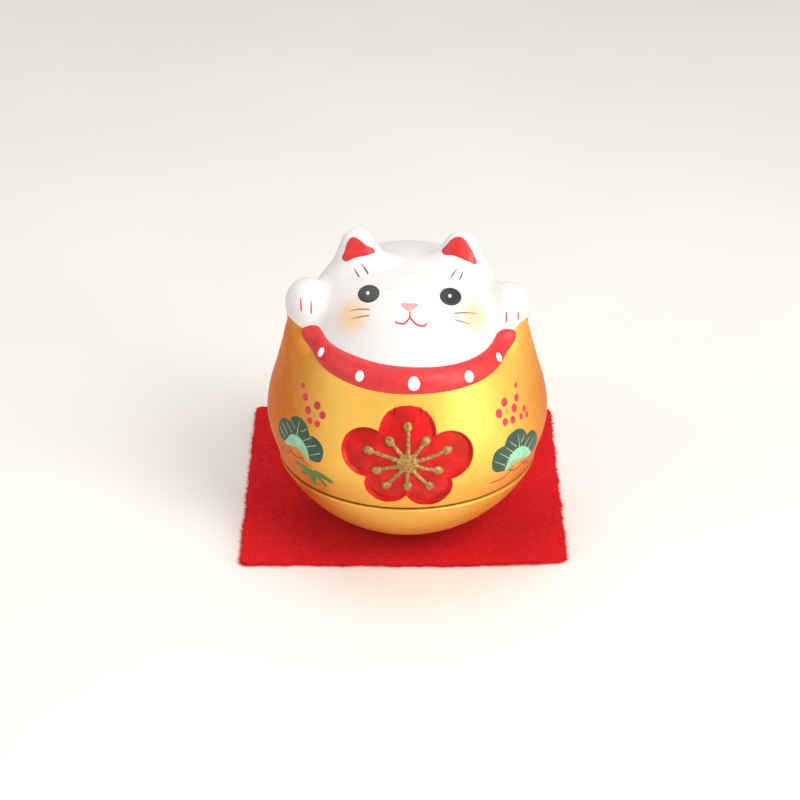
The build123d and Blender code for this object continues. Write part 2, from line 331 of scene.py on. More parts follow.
def join(name, pieces):
    """Join pieces into the first, under a new name."""
    clear_selection()
    for piece in pieces:
        piece.select_set(True)
    bpy.context.view_layer.objects.active = pieces[0]
    if len(pieces) > 1:
        bpy.ops.object.join()
    return name_piece(name)


def settle(piece, body, material):
    """Give a finished piece its material and the body that it moves with."""
    pick(piece)
    bpy.ops.object.transform_apply(location=True, rotation=True, scale=True)
    bpy.ops.object.shade_smooth_by_angle(angle=math.radians(50))
    piece.data.materials.clear()
    piece.data.materials.append(material)
    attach(piece, body)
    return piece


def smooth_line(stations, steps):
    """Points of a smooth line through the stations, with a number of steps in each span."""
    ends = [stations[0]] + list(stations) + [stations[-1]]
    points = []
    for before, start, stop, after in zip(ends, ends[1:], ends[2:], ends[3:]):
        for step in range(steps):
            t = step / steps
            points.append(tuple(
                b + 0.5 * ((c - a) * t + (2 * a - 5 * b + 4 * c - d) * t * t + (3 * b - a - 3 * c + d) * t ** 3)
                for a, b, c, d in zip(before, start, stop, after)
            ))
    points.append(tuple(stations[-1]))
    return points


def turn(name, profile, steps):
    """Turn a line of (radius, height) points, in mm, round the upright axis."""
    clear_selection()
    bpy.ops.mesh.primitive_plane_add(size=MM)
    piece = name_piece(name)
    bpy.ops.object.mode_set(mode="EDIT")
    bpy.ops.mesh.select_mode(type="VERT")
    bpy.ops.mesh.select_all(action="SELECT")
    bpy.ops.mesh.merge(type="CENTER")
    bpy.ops.transform.translate(value=(profile[0][0] * MM, 0, profile[0][1] * MM))
    for here, there in zip(profile, profile[1:]):
        step = ((there[0] - here[0]) * MM, 0, (there[1] - here[1]) * MM)
        bpy.ops.mesh.extrude_vertices_move(TRANSFORM_OT_translate={"value": step})
    bpy.ops.mesh.select_all(action="SELECT")
    bpy.ops.mesh.spin(steps=steps, angle=2 * math.pi, center=(0, 0, 0), axis=(0, 0, 1))
    bpy.ops.mesh.select_all(action="SELECT")
    bpy.ops.mesh.remove_doubles(threshold=1e-6)
    bpy.ops.mesh.normals_make_consistent(inside=False)
    bpy.ops.object.mode_set(mode="OBJECT")
    return piece


def points_of(piece):
    """The piece's points as an array, in mm."""
    flat = np.empty(len(piece.data.vertices) * 3)
    piece.data.vertices.foreach_get("co", flat)
    return flat.reshape(-1, 3) / MM


def place_points(piece, points):
    """Move the piece's points to an array of places, in mm."""
    piece.data.vertices.foreach_set("co", (points * MM).ravel())
    piece.data.update()


def stroke(name, line, rise):
    """A brush stroke on the bench: line holds (across, up, width) points, and rise is its height in mm."""
    clear_selection()
    bpy.ops.curve.primitive_nurbs_path_add()
    bench = name_piece(name)
    curve = bench.data
    curve.splines.clear()
    spline = curve.splines.new("NURBS")
    spline.points.add(len(line) - 1)
    for point, (across, up, width) in zip(spline.points, line):
        point.co = (across * MM, up * MM, 0, 1)
        point.radius = width / 2
    spline.order_u = min(3, len(line))
    spline.use_endpoint_u = True
    spline.resolution_u = 8
    curve.dimensions = "3D"
    curve.bevel_depth = MM
    curve.bevel_resolution = 2
    curve.use_fill_caps = True
    bpy.ops.object.convert(target="MESH")
    widest = max(width for across, up, width in line)
    bpy.ops.transform.resize(value=(1, 1, 2 * rise / widest))
    bpy.ops.object.transform_apply(location=False, rotation=False, scale=True)
    return name_piece(name)


def dab(name, across, up, half_width, half_height, rise, tilt=0.0):
    """A round touch of paint on the bench, domed like a drop that has dried."""
    clear_selection()
    bpy.ops.mesh.primitive_uv_sphere_add(
        segments=28, ring_count=12, radius=MM, location=(across * MM, up * MM, 0),
        rotation=(0, 0, math.radians(tilt)), scale=(half_width, half_height, rise),
    )
    bpy.ops.object.transform_apply(location=True, rotation=True, scale=True)
    return name_piece(name)


def patch(name, outline, rise):
    """A filled shape on the bench, with a soft edge: outline holds (across, up) points on its rim."""
    clear_selection()
    bpy.ops.curve.primitive_bezier_circle_add(radius=MM)
    curve = bpy.context.object.data
    curve.splines.clear()
    spline = curve.splines.new("BEZIER")
    spline.bezier_points.add(len(outline) - 1)
    for point, (across, up) in zip(spline.bezier_points, outline):
        point.co = (across * MM, up * MM, 0)
        point.handle_left_type = "AUTO"
        point.handle_right_type = "AUTO"
    spline.use_cyclic_u = True
    spline.resolution_u = 5
    curve.dimensions = "3D"
    bpy.ops.object.convert(target="MESH")
    piece = name_piece(name)
    middle = Vector((sum(a for a, u in outline), sum(u for a, u in outline), 0)) / len(outline) * MM
    bpy.ops.object.mode_set(mode="EDIT")
    bpy.ops.mesh.select_mode(type="VERT")
    bpy.ops.mesh.select_all(action="SELECT")
    share = 1.0
    for next_share, lift in ((0.96, 0.7), (0.9, 0.3), (0.75, 0), (0.58, 0), (0.4, 0), (0.22, 0)):
        bpy.ops.mesh.extrude_region_move(TRANSFORM_OT_translate={"value": (0, 0, lift * rise * MM)})
        ratio = next_share / share
        bpy.ops.transform.resize(value=(ratio, ratio, 1), center_override=middle)
        share = next_share
    bpy.ops.mesh.merge(type="CENTER")
    bpy.ops.mesh.select_all(action="SELECT")
    bpy.ops.mesh.normals_make_consistent(inside=False)
    bpy.ops.object.mode_set(mode="OBJECT")
    if sum(face.normal.z * face.area for face in piece.data.polygons) < 0:
        piece.data.flip_normals()
    return piece


def surface_of(piece):
    """A piece's surface, to lay painted details on."""
    mesh = piece.data
    return BVHTree.FromPolygons([v.co for v in mesh.vertices], [p.vertices for p in mesh.polygons])


def lay_point(piece, vertex, surface, foot, outward, lift):
    """Move a bench point onto the surface outward of foot, as high over it as it stood on the bench."""
    place, normal, face, reach = surface.ray_cast(foot + outward * 0.1, -outward)
    if place is None:
        raise RuntimeError(f"{piece.name}: part of it would lie beside the figure")
    vertex.co = place + normal * (vertex.co.z + lift * MM)


def lay_on(piece, surface, turn_angle, height, pitch=0.0, lift=0.0):
    """Lay a bench piece on a surface, seen from a side and pitch in degrees, centred at a height."""
    side = math.radians(turn_angle)
    tip = math.radians(pitch)
    outward = Vector((math.sin(side) * math.cos(tip), -math.cos(side) * math.cos(tip), math.sin(tip)))
    across = Vector((math.cos(side), math.sin(side), 0))
    up = outward.cross(across)
    for vertex in piece.data.vertices:
        foot = Vector((0, 0, height * MM)) + across * vertex.co.x + up * vertex.co.y
        lay_point(piece, vertex, surface, foot, outward, lift)
    piece.data.update()


def wrap_round(piece, surface):
    """Wrap a bench piece round the throat: across is the arc at COLLAR_TURN_RADIUS, and up is the height."""
    for vertex in piece.data.vertices:
        side = vertex.co.x / (COLLAR_TURN_RADIUS * MM)
        outward = Vector((math.sin(side), -math.cos(side), 0))
        lay_point(piece, vertex, surface, Vector((0, 0, vertex.co.y)), outward, 0.0)
    piece.data.update()


def thicken(piece, thickness):
    """Give a sheet its thickness in mm, downwards from its face."""
    pick(piece)
    solidify = piece.modifiers.new("Thickness", "SOLIDIFY")
    solidify.thickness = thickness * MM
    solidify.offset = -1
    bpy.ops.object.modifier_apply(modifier=solidify.name)


# ---------------------------------------------------------------- materials


class Finish:
    """A material being mixed: short calls that add and join nodes."""

    def __init__(self, name):
        self.material = bpy.data.materials.new(name)
        self.material.use_nodes = True
        self.nodes = self.material.node_tree.nodes
        self.links = self.material.node_tree.links
        self.shader = self.nodes["Principled BSDF"]
        self.place = self.nodes.new("ShaderNodeTexCoord").outputs["Object"]
        self.axes = self.nodes.new("ShaderNodeSeparateXYZ")
        self.links.new(self.place, self.axes.inputs[0])

    def put(self, value, socket):
        """Join an output to a socket, or set the socket to a number."""
        if isinstance(value, bpy.types.NodeSocket):
            self.links.new(value, socket)
        else:
            socket.default_value = value

    def maths(self, operation, first, second=0.0, third=0.0):
        """One arithmetic step."""
        node = self.nodes.new("ShaderNodeMath")
        node.operation = operation
        for socket, value in zip(node.inputs, (first, second, third)):
            self.put(value, socket)
        return node.outputs[0]

    def ramp(self, value, low, high, start=0.0, stop=1.0):
        """A smooth step from start to stop, as value goes from low to high."""
        node = self.nodes.new("ShaderNodeMapRange")
        node.interpolation_type = "SMOOTHSTEP"
        keys = ("Value", "From Min", "From Max", "To Min", "To Max")
        for key, setting in zip(keys, (value, low, high, start, stop)):
            self.put(setting, node.inputs[key])
        return node.outputs["Result"]

    def noise(self, scale, detail=4.0, roughness=0.55, stretch=(1, 1, 1)):
        """A cloud pattern on the piece's own coordinates, with scale in features per metre."""
        mapping = self.nodes.new("ShaderNodeMapping")
        mapping.inputs["Scale"].default_value = stretch
        self.links.new(self.place, mapping.inputs["Vector"])
        node = self.nodes.new("ShaderNodeTexNoise")
        self.links.new(mapping.outputs["Vector"], node.inputs["Vector"])
        node.inputs["Scale"].default_value = scale
        node.inputs["Detail"].default_value = detail
        node.inputs["Roughness"].default_value = roughness
        return node.outputs["Fac"]

    def tint(self, value, socket):
        """Join a colour to a socket, or set the socket to three numbers."""
        self.put(value if isinstance(value, bpy.types.NodeSocket) else (*value, 1.0), socket)

    def mix(self, amount, first, second):
        """Mix two colours."""
        node = self.nodes.new("ShaderNodeMix")
        node.data_type = "RGBA"
        self.put(amount, node.inputs["Factor"])
        self.tint(first, node.inputs["A"])
        self.tint(second, node.inputs["B"])
        return node.outputs["Result"]

    def mottle(self, cloud, dark, light, low=0.3):
        """Two tones that follow a cloud."""
        return self.mix(self.ramp(cloud, low, 0.7), dark, light)

    def fleck(self, cloud, low, high, most, tone, colour):
        """Another colour over a tone, where a cloud is thick."""
        return self.mix(self.ramp(cloud, low, high, 0.0, most), tone, colour)

    def distance(self, centre):
        """Distance from a point given in mm, in metres."""
        node = self.nodes.new("ShaderNodeVectorMath")
        node.operation = "DISTANCE"
        self.links.new(self.place, node.inputs[0])
        node.inputs[1].default_value = [value * MM for value in centre]
        return node.outputs["Value"]

    def bump(self, height, depth, below=None):
        """Raise a pattern by a depth in mm, on top of another bump."""
        node = self.nodes.new("ShaderNodeBump")
        node.inputs["Strength"].default_value = 1.0
        node.inputs["Distance"].default_value = depth * MM
        self.put(height, node.inputs["Height"])
        if below is not None:
            self.links.new(below, node.inputs["Normal"])
        return node.outputs["Normal"]

    def finish(self, colour, roughness, normal=None, metallic=0.0, sheen=0.0):
        """Set the shader's sockets and return the material."""
        self.tint(colour, self.shader.inputs["Base Color"])
        self.put(roughness, self.shader.inputs["Roughness"])
        self.put(metallic, self.shader.inputs["Metallic"])
        self.shader.inputs["Sheen Weight"].default_value = sheen
        if normal is not None:
            self.links.new(normal, self.shader.inputs["Normal"])
        return self.material


def shade(tint, amount):
    """A darker or lighter tone of a colour."""
    return tuple(min(1.0, part * amount) for part in tint)


def brush_paint(name, tint, roughness=0.5, patchy=0.75):
    """Hand-brushed paint: thin and thick patches, with a faint brush texture."""
    mix = Finish(name)
    cloud = mix.noise(420, detail=3)
    fine = mix.noise(6000, detail=2)
    tone = mix.mottle(cloud, shade(tint, patchy), shade(tint, 1.08))
    rough = mix.ramp(cloud, 0.3, 0.7, roughness - 0.08, roughness + 0.08)
    return mix.finish(tone, rough, mix.bump(fine, 0.02, mix.bump(cloud, 0.03)))


def grainy(name, scale, dark, light, roughness, depth, detail=4.0, grit=0.55, low=0.3, metallic=0.0):
    """A plain, rough material of two tones, with a grain that is depth mm deep."""
    mix = Finish(name)
    cloud = mix.noise(scale, detail=detail, roughness=grit)
    return mix.finish(mix.mottle(cloud, dark, light, low), roughness, mix.bump(cloud, depth), metallic=metallic)


def gold_airbrush_and_shade(mix, colours, low_edge, high_edge):
    """Pearl gold, orange on the flanks and below low_edge: partly airbrush, partly painted shade, and near the
    foot a painted reflection of the red felt.
    """
    x, y, z = mix.axes.outputs
    wide = mix.maths("ABSOLUTE", mix.maths("ADD", x, -HIGHLIGHT_SIDE * MM))
    # Orange on the flanks, away from the highlight's line: airbrush and painted shade
    flank_airbrush_and_shade = mix.ramp(wide, FLANK_SHADE_SPAN[0] * MM, FLANK_SHADE_SPAN[1] * MM)
    # Orange towards the bottom: airbrush, painted shade and a painted reflection of the red felt
    foot = mix.ramp(z, low_edge * MM, high_edge * MM, 0.9, 0.0)
    foot = mix.maths("MULTIPLY", foot, mix.ramp(wide, 6 * MM, 30 * MM, 0.45, 1.0))
    drift = mix.maths("MULTIPLY_ADD", mix.noise(70, detail=3), 0.12, -0.06)
    amount = mix.maths("ADD", mix.maths("ADD", flank_airbrush_and_shade, foot), drift)
    amount = mix.maths("MINIMUM", mix.maths("MAXIMUM", amount, 0.0), 1.0)
    tone = mix.mix(amount, tuple(colours.gold), tuple(colours.orange))
    streak = mix.noise(420, detail=4, stretch=(1, 1, 0.8))
    tone = mix.fleck(streak, 0.35, 0.75, 0.10, tone, (1.0, 0.72, 0.26))
    flake = mix.noise(9000, detail=1)
    return mix.fleck(flake, 0.6, 0.8, 0.3, tone, (1.0, 0.80, 0.36)), flake, streak


def neckline(mix):
    """The height of the line between white and gold at each side of the doll, in metres."""
    x, y, z = mix.axes.outputs
    side = mix.maths("ARCTAN2", x, mix.maths("MULTIPLY", y, -1.0))
    share = mix.maths("MULTIPLY_ADD", side, 0.5 / math.pi, 0.5)
    node = mix.nodes.new("ShaderNodeFloatCurve")
    curve = node.mapping.curves[0]
    while len(curve.points) < len(NECKLINE):
        curve.points.new(0.5, 0.5)
    for point, (turn_angle, height) in zip(curve.points, NECKLINE):
        point.location = ((turn_angle + 180) / 360, (height - NECKLINE_LOW) / NECKLINE_SPAN)
        point.handle_type = "AUTO_CLAMPED"
    node.mapping.update()
    mix.links.new(share, node.inputs["Value"])
    return mix.maths("MULTIPLY_ADD", node.outputs["Value"], NECKLINE_SPAN * MM, NECKLINE_LOW * MM)


def emblem_mask(mix):
    """1 inside the plum blossom on the front, with a soft painted edge."""
    x, y, z = mix.axes.outputs
    nearest = None
    for across, up, radius in BLOSSOM:
        away_x = mix.maths("ADD", x, -across * MM)
        away_z = mix.maths("ADD", z, -(EMBLEM_HEIGHT + up) * MM)
        squares = [mix.maths("MULTIPLY", away, away) for away in (away_x, away_z)]
        gap = mix.maths("ADD", mix.maths("SQRT", mix.maths("ADD", *squares)), -radius * MM)
        nearest = gap if nearest is None else mix.maths("MINIMUM", nearest, gap)
    wobble = mix.maths("MULTIPLY_ADD", mix.noise(700, detail=2), 0.3 * MM, -0.15 * MM)
    inside = mix.ramp(mix.maths("ADD", nearest, wobble), -0.22 * MM, -0.02 * MM, 1.0, 0.0)
    return mix.maths("MULTIPLY", inside, mix.ramp(y, -0.012, -0.010, 1.0, 0.0))


def figure_paint(colours):
    """White bisque head, pearl gold body and red emblem on one casting."""
    mix = Finish("painted_bisque")
    x, y, z = mix.axes.outputs
    # Gold with airbrushed orange and painted shade on the flanks and the lower body
    gold, flake, streak = gold_airbrush_and_shade(mix, colours, 20, 33)
    bisque = tuple(colours.bisque)
    white = mix.mottle(mix.noise(260, detail=3), shade(bisque, 0.965), bisque, 0.35)
    for place in BLUSHES:
        near = mix.distance(place)
        white = mix.mix(mix.ramp(near, 0.5 * MM, 6.8 * MM, 0.6, 0.0), white, tuple(colours.blush))
    above = mix.maths("SUBTRACT", z, neckline(mix))
    ragged = mix.maths("MULTIPLY_ADD", mix.noise(1200, detail=2), 0.4 * MM, -0.2 * MM)
    is_white = mix.ramp(mix.maths("ADD", above, ragged), -0.12 * MM, 0.12 * MM)
    is_red = emblem_mask(mix)
    red_cloud = mix.noise(240, detail=3)
    red = mix.mottle(red_cloud, shade(colours.emblem, 0.72), shade(colours.emblem, 1.1), 0.35)
    tone = mix.mix(is_red, mix.mix(is_white, gold, white), red)
    gold_metal = mix.maths("MULTIPLY", mix.maths("SUBTRACT", 1.0, is_white), PEARL_METAL)
    metal = mix.maths("MULTIPLY", gold_metal, mix.maths("SUBTRACT", 1.0, is_red))
    satin = mix.ramp(streak, 0.3, 0.7, 0.42, 0.50)
    rough = mix.maths("MAXIMUM", satin, mix.maths("MULTIPLY", is_white, 0.62))
    rough = mix.maths("SUBTRACT", rough, mix.maths("MULTIPLY", is_red, 0.10))
    mix.tint(mix.mix(is_white, GOLD_EDGE, (1.0, 1.0, 1.0)), mix.shader.inputs["Specular Tint"])
    mix.shader.inputs["Specular IOR Level"].default_value = 0.35
    grain = mix.noise(3500, detail=2)
    normal = mix.bump(grain, 0.012, mix.bump(flake, 0.008, mix.bump(red_cloud, 0.05)))
    return mix.finish(tone, rough, normal, metallic=metal)


def bowl_paint(colours):
    """Pearl gold of the weighted base, darker and more orange towards the foot: airbrush with painted shade and
    a painted reflection of the red felt.
    """
    mix = Finish("base_gold")
    tone, flake, streak = gold_airbrush_and_shade(mix, colours, 6, 33)
    satin = mix.ramp(streak, 0.3, 0.7, 0.38, 0.46)
    mix.tint(GOLD_EDGE, mix.shader.inputs["Specular Tint"])
    return mix.finish(tone, satin, mix.bump(flake, 0.01), metallic=PEARL_METAL)


def stamen_gold(tint):
    """Dull brown gold of the emblem's relief, worn brighter in places."""
    mix = Finish("stamen_gold")
    cloud = mix.noise(1500, detail=4)
    worn = mix.noise(420, detail=3)
    tone = mix.mottle(cloud, shade(tint, 0.6), shade(tint, 1.35), 0.35)
    tone = mix.fleck(worn, 0.6, 0.75, 0.6, tone, (0.72, 0.50, 0.18))
    return mix.finish(tone, 0.48, mix.bump(cloud, 0.12, mix.bump(worn, 0.12)), metallic=PEARL_METAL)


def felt_fabric(tint):
    """Pressed wool felt: matted fibres, with lighter and darker tufts."""
    mix = Finish("red_felt")
    tuft = mix.noise(900, detail=5, roughness=0.7)
    fibre = mix.noise(5200, detail=4, roughness=0.75)
    broad = mix.noise(45, detail=2)
    tone = mix.mix(mix.ramp(tuft, 0.3, 0.72), shade(tint, 0.82), shade(tint, 1.12))
    tone = mix.fleck(fibre, 0.5, 0.8, 0.4, tone, (0.86, 0.03, 0.03))
    tone = mix.fleck(broad, 0.4, 0.7, 0.18, tone, (0.40, 0.002, 0.006))
    normal = mix.bump(fibre, 0.10, mix.bump(tuft, 0.10))
    mix.shader.inputs["Specular IOR Level"].default_value = 0.12
    return mix.finish(tone, 0.95, normal, sheen=0.05)


# ---------------------------------------------------------------- shaping the casting


def soft_union(first, second, blend):
    """Distance to two shapes run together with a fillet."""
    near = np.maximum(blend - abs(first - second), 0) / blend
    return np.minimum(first, second) - near * near * blend / 4


def ear_gap(points, root, root_radius, tip, tip_radius):
    """Distance from an ear: a tapered, round-ended peg, flattened front to back."""
    points = points.copy()
    points[:, 1] = (points[:, 1] - root[1]) / EAR_FLATNESS + root[1]
    root = np.array(root)
    axis = np.array(tip) - root
    length = axis @ axis
    shrink = root_radius - tip_radius
    slant = length - shrink * shrink
    away = points - root
    along = away @ axis
    beyond = along - length
    side = ((away * length - along[:, None] * axis) ** 2).sum(1)
    limit = np.sign(shrink) * shrink * shrink * side
    tip_gap = np.sqrt(side + beyond * beyond * length) / length - tip_radius
    root_gap = np.sqrt(side + along * along * length) / length - root_radius
    flank_gap = (np.sqrt(side * slant / length) + along * shrink) / length - root_radius
    gap = np.where(np.sign(beyond) * slant * beyond * beyond * length > limit, tip_gap, flank_gap)
    gap = np.where(np.sign(along) * slant * along * along * length < limit, root_gap, gap)
    return gap * 0.8


def pad_gap(points, middle, halves):
    """Distance from a rounded pad, such as a paw."""
    scaled = (points - np.array(middle)) / np.array(halves)
    near = np.linalg.norm(scaled, axis=1)
    return near * (near - 1) / np.maximum(np.linalg.norm(scaled / np.array(halves), axis=1), 1e-9)


def draw_out_features(piece):
    """Draw the ears, the shoulders and the paws out of the turned egg."""
    points = points_of(piece)
    away = points - HEART
    reach = np.linalg.norm(away, axis=1)
    wall = np.hypot(points[:, 0], points[:, 1])
    outer = np.array([wall_radius(height) for height in points[:, 2]])
    moving = np.where((points[:, 2] > NECK_BASE) & (wall > outer - SKIN_DEPTH))[0]
    rays = away[moving] / reach[moving, None]
    skin = reach[moving]

    def gap(distance):
        places = HEART + rays * distance[:, None]
        total = distance - skin
        for ear in EARS:
            total = soft_union(total, ear_gap(places, *ear), EAR_BLEND)
        for shoulder in SHOULDERS:
            total = soft_union(total, pad_gap(places, *shoulder), SHOULDER_BLEND)
        for paw in PAWS:
            total = soft_union(total, pad_gap(places, *paw), PAW_BLEND)
        return total

    far = skin + LONGEST_REACH
    near = skin - 0.5
    found = np.zeros(len(moving), bool)
    for step in range(SEARCH_STEPS):
        trial = skin + LONGEST_REACH - SEARCH_STEP * step
        inside = (gap(trial) < 0) & ~found
        far[inside] = trial[inside] + SEARCH_STEP
        near[inside] = trial[inside]
        found |= inside
    for halving in range(HALVINGS):
        middle = (far + near) / 2
        inside = gap(middle) < 0
        near = np.where(inside, middle, near)
        far = np.where(inside, far, middle)
    points[moving] = HEART + rays * near[:, None]
    place_points(piece, points)


def wall_radius(height):
    """Radius of the plain egg at a height, in mm."""
    side = EGG_SIDE + EGG_HEAD
    for (wide, low), (narrow, high) in zip(side, side[1:]):
        if height <= high:
            return wide + (narrow - wide) * (height - low) / (high - low)
    return 0.0


def emblem_gap(points):
    """Distance outside the plum blossom's edge on the front, in mm."""
    gaps = [
        np.hypot(points[:, 0] - across, points[:, 2] - EMBLEM_HEIGHT - up) - radius
        for across, up, radius in BLOSSOM
    ]
    return np.where(points[:, 1] < -10, np.min(gaps, axis=0), 99.0)


def refine_emblem_edge(piece):
    """Divide the faces along the emblem's edge, so that its wall is crisp."""
    middles = np.array([polygon.center for polygon in piece.data.polygons]) / MM
    near = (abs(emblem_gap(middles) + 0.3) < 1.3) & (np.hypot(middles[:, 0], middles[:, 1]) > 31.6)
    pick(piece)
    bpy.ops.object.mode_set(mode="EDIT")
    bpy.ops.mesh.select_all(action="DESELECT")
    bpy.ops.mesh.select_mode(type="FACE")
    bpy.ops.object.mode_set(mode="OBJECT")
    piece.data.polygons.foreach_set("select", near)
    bpy.ops.object.mode_set(mode="EDIT")
    bpy.ops.mesh.subdivide(number_cuts=3, smoothness=0)
    bpy.ops.object.mode_set(mode="OBJECT")


def press_emblem(piece, depth, wall):
    """Press the emblem's floor into the body, with a sloping wall."""
    points = points_of(piece)
    gap = emblem_gap(points)
    outside = np.hypot(points[:, 0], points[:, 1]) > OUTER_SKIN
    share = np.clip(-gap / wall, 0, 1) * outside
    share = share * share * (3 - 2 * share)
    inward = points.copy()
    inward[:, 2] = 0
    inward /= np.maximum(np.linalg.norm(inward, axis=1), 1e-9)[:, None]
    points -= inward * (share * depth)[:, None]
    place_points(piece, points)


# ---------------------------------------------------------------- operators


def doll_piece(name, parts, paint):
    """Join parts into one finished piece of the doll."""
    return settle(join(name, parts), "doll", paint)


def figure_surface():
    """The surface of the finished figure."""
    return surface_of(bpy.data.objects["figure"])


def paint_box(context):
    """The colours, the rise of a painted mark in mm, and the surface to paint on."""
    return context.scene.doll_colours, context.scene.doll_sizes.paint_rise / MM, figure_surface()


def face_marks(surface, name, parts, paint, lift=0.01, thickness=None):
    """Join touches of paint, lay them on the front of the head and finish them."""
    piece = join(name, parts)
    lay_on(piece, surface, 0, FACE_HEIGHT, FACE_PITCH, lift=lift)
    if thickness:
        thicken(piece, thickness)
    settle(piece, "doll", paint)


class DOLL_OT_figure(bpy.types.Operator):
    """Turn the hollow casting, draw out its ears and paws, and press the emblem into it"""

    bl_idname = "doll.figure"
    bl_label = "Figure"

    def execute(self, context):
        sizes = context.scene.doll_sizes
        skin = smooth_line(EGG_SIDE, 10)[:-1] + smooth_line(EGG_HEAD, 12)
        figure = turn("figure", smooth_line(INSIDE, 3) + RIM_EDGE + skin, 360)
        refine_emblem_edge(figure)
        draw_out_features(figure)
        press_emblem(figure, sizes.pocket_depth / MM, sizes.pocket_wall / MM)
        settle(figure, "doll", figure_paint(context.scene.doll_colours))
        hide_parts("body_shell")
        return {"FINISHED"}


class DOLL_OT_collar(bpy.types.Operator):
    """Lay the raised red collar round the throat, with its five painted dots"""

    bl_idname = "doll.collar"
    bl_label = "Collar"

    def execute(self, context):
        arc = math.radians(1) * COLLAR_TURN_RADIUS
        collar = stroke("collar", [(side * arc, height, width) for side, height, width in COLLAR_LINE], 1.0)
        points = points_of(collar)
        swell = context.scene.doll_sizes.collar_rise / MM
        points[:, 2] = np.sign(points[:, 2]) * abs(points[:, 2]) ** 0.55 * swell
        place_points(collar, points)
        wrap_round(collar, figure_surface())
        red = brush_paint("collar_red", tuple(context.scene.doll_colours.collar), 0.46, 0.86)
        settle(collar, "doll", red)
        band = surface_of(collar)
        dots = []
        for index, (side, height, width) in enumerate(COLLAR_DOTS):
            dot = dab(f"collar_dot_{index + 1}", side * arc, height, width / 2, width / 2 * 1.15, 0.22)
            wrap_round(dot, band)
            dots.append(dot)
        doll_piece("collar_dots", dots, brush_paint("dot_white", (0.92, 0.90, 0.88), 0.45, 0.95))
        return {"FINISHED"}


class DOLL_OT_relief(bpy.types.Operator):
    """Raise the plum blossom's stamens and pistil from the emblem's floor"""

    bl_idname = "doll.relief"
    bl_label = "Emblem Relief"

    def execute(self, context):
        rise = context.scene.doll_sizes.relief_rise / MM
        parts = []
        for index, (side, length) in enumerate(STAMENS):
            lean = math.radians(90 - side)
            along, up = math.cos(lean), math.sin(lean)
            tip = (length * along, length * 0.92 * up + PISTIL_UP)
            root = (2.0 * along, 2.0 * up + PISTIL_UP)
            bend = ((tip[0] + root[0]) / 2 + 0.25 * up, (tip[1] + root[1]) / 2 - 0.25 * along)
            parts.append(stroke(f"filament_{index}", [(*root, 1.3), (*bend, 1.05), (*tip, 1.0)], rise * 0.8))
            parts.append(dab(f"anther_{index}", *tip, 1.35, 1.15, rise, tilt=90 - side))
        parts.append(dab("pistil", 0.0, PISTIL_UP, 2.7, 2.6, rise * 1.1))
        relief = join("emblem_stamens", parts)
        lay_on(relief, figure_surface(), 0, EMBLEM_HEIGHT)
        settle(relief, "doll", stamen_gold(tuple(context.scene.doll_colours.relief)))
        return {"FINISHED"}


class DOLL_OT_face(bpy.types.Operator):
    """Paint the eyes, brows, whiskers, nose and mouth"""

    bl_idname = "doll.face"
    bl_label = "Face"

    def execute(self, context):
        colours, rise, surface = paint_box(context)
        charcoal = tuple(colours.eye)
        face_marks(surface, "eyes", [dab("eye", *eye[:2], 2.62, 2.2, rise, tilt=eye[2]) for eye in EYES],
                   brush_paint("eye_charcoal", charcoal, 0.4, 0.7))
        sparks = [dab("spark", *spark, 0.42, 0.46, 2.6 * rise) for spark in EYE_SPARKS]
        face_marks(surface, "eye_sparks", sparks,
                   brush_paint("spark_white", (0.9, 0.92, 0.92), 0.4, 0.95))
        face_marks(surface, "brows", [stroke("brow", line, rise) for line in BROWS],
                   brush_paint("brow_charcoal", charcoal, 0.5, 0.7))
        face_marks(surface, "whiskers", [stroke("whisker", line, rise) for line in WHISKERS],
                   brush_paint("whisker_brown", tuple(colours.whisker), 0.55, 0.7))
        face_marks(surface, "nose", [patch("nose", NOSE, rise)],
                   brush_paint("nose_pink", tuple(colours.nose), 0.45, 0.9), thickness=0.06)
        face_marks(surface, "mouth", [stroke("mouth", line, rise) for line in MOUTH],
                   brush_paint("mouth_red", tuple(colours.mouth), 0.45, 0.85))
        return {"FINISHED"}


class DOLL_OT_ears_and_claws(bpy.types.Operator):
    """Paint the red linings of the ears and the claws on the paws"""

    bl_idname = "doll.ears_and_claws"
    bl_label = "Ear Linings and Claws"

    def execute(self, context):
        colours, rise, surface = paint_box(context)
        face_marks(surface, "ear_linings", [patch("lining", outline, rise) for outline in EAR_LININGS],
                   brush_paint("lining_red", tuple(colours.collar), 0.42, 0.9), lift=0.02, thickness=0.06)
        face_marks(surface, "claws", [stroke("claw", line, rise) for line in CLAWS],
                   brush_paint("claw_red", tuple(colours.mouth), 0.5, 0.8))
        return {"FINISHED"}


class DOLL_OT_plum_sprigs(bpy.types.Operator):
    """Dab the crimson plum blossoms on both sides of the body"""

    bl_idname = "doll.plum_sprigs"
    bl_label = "Plum Sprigs"

    def execute(self, context):
        colours, rise, surface = paint_box(context)
        petals = [(LEFT_TURN, *petal) for petal in LEFT_BLOSSOM]
        petals += [(RIGHT_TURN, *petal) for petal in RIGHT_BLOSSOM]
        crimson = brush_paint("blossom_crimson", tuple(colours.blossom), 0.45)
        olive = brush_paint("heart_olive", tuple(colours.heart))
        for name, touches, height, paint in (
            ("plum_petals", petals, rise, crimson), ("plum_hearts", BLOSSOM_HEARTS, rise * 0.8, olive)
        ):
            laid = []
            for side, *touch in touches:
                laid.append(dab(name, *touch, height))
                lay_on(laid[-1], surface, side, SPRIG_HEIGHT, lift=0.01)
            doll_piece(name, laid, paint)
        return {"FINISHED"}


